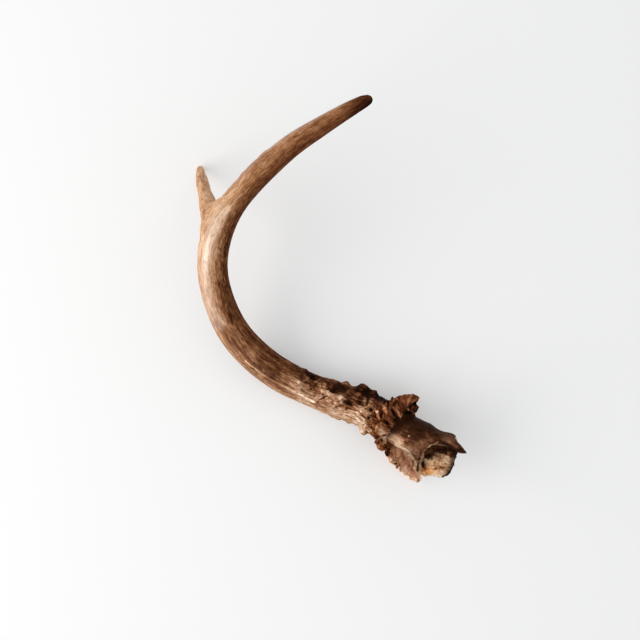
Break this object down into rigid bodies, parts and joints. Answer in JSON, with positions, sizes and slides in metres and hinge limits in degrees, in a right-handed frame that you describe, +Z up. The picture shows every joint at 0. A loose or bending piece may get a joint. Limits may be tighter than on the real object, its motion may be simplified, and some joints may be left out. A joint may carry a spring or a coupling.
{
  "type": "deer antler",
  "caption": "Curved deer antler with a forked tine, pearled base, flared ragged burr and torn stump of skull bone, lying on a surface.",
  "frame": {"origin": "on the surface that the antler lies on, under the middle of its bounding box", "axes": "+Z up from the surface; +Y along the longest extent, from the burr's end towards the tip's end; +X from the outside of the bend towards the open side of the crook"},
  "size_m": [0.234, 0.328, 0.1132],
  "materials": {
    "antler": "dry antler, streaked dark and light brown, worn smooth and slightly glossy on the bend",
    "tine": "dry antler, pale tan brown, slightly glossy",
    "skull_bone": "dry dark brown bone, matte, tan where it is broken"
  },
  "bodies": {
    "root": {"beam": "antler", "tine": "tine", "pedicle": "skull_bone"}
  },
  "joints": []
}
